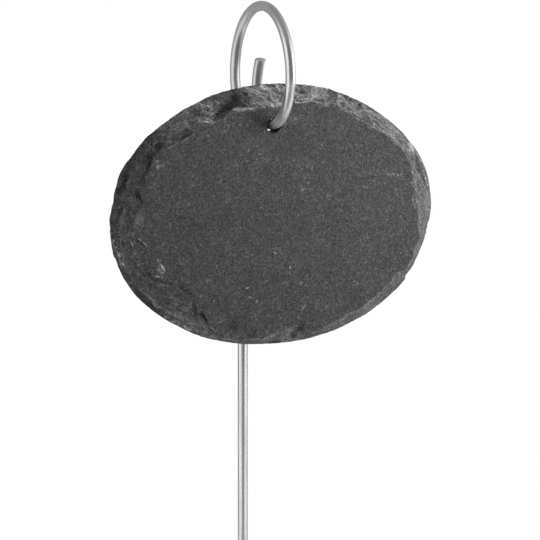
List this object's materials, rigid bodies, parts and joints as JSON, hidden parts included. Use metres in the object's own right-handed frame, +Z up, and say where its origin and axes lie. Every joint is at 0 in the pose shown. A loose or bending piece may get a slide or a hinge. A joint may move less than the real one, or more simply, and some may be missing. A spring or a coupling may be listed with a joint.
{
  "type": "plant label stake",
  "caption": "Plant label: an oval slate tag with a chipped edge hangs on the curled hook of a straight wire stake that is pushed into soil.",
  "frame": {"origin": "centre of the wire stake's lower end", "axes": "+Z up along the stake, -Y the way the tag's written face looks, +X to the right seen from that face"},
  "size_m": [0.0804, 0.034, 0.2981],
  "materials": {
    "wire": "satin drawn steel wire",
    "slate": "natural dark grey slate with a fine matt grain and hand-chipped edges"
  },
  "bodies": {
    "stake": {"wire_stake": "wire"},
    "tag": {"slate_tag": "slate"}
  },
  "joints": [
    {"name": "tag_swing", "type": "hinge", "parent": "stake", "child": "tag", "pos_m": [0, -0.0161, 0.27003], "axis": [0, 1, 0], "range_deg": [-77, 77]}
  ]
}
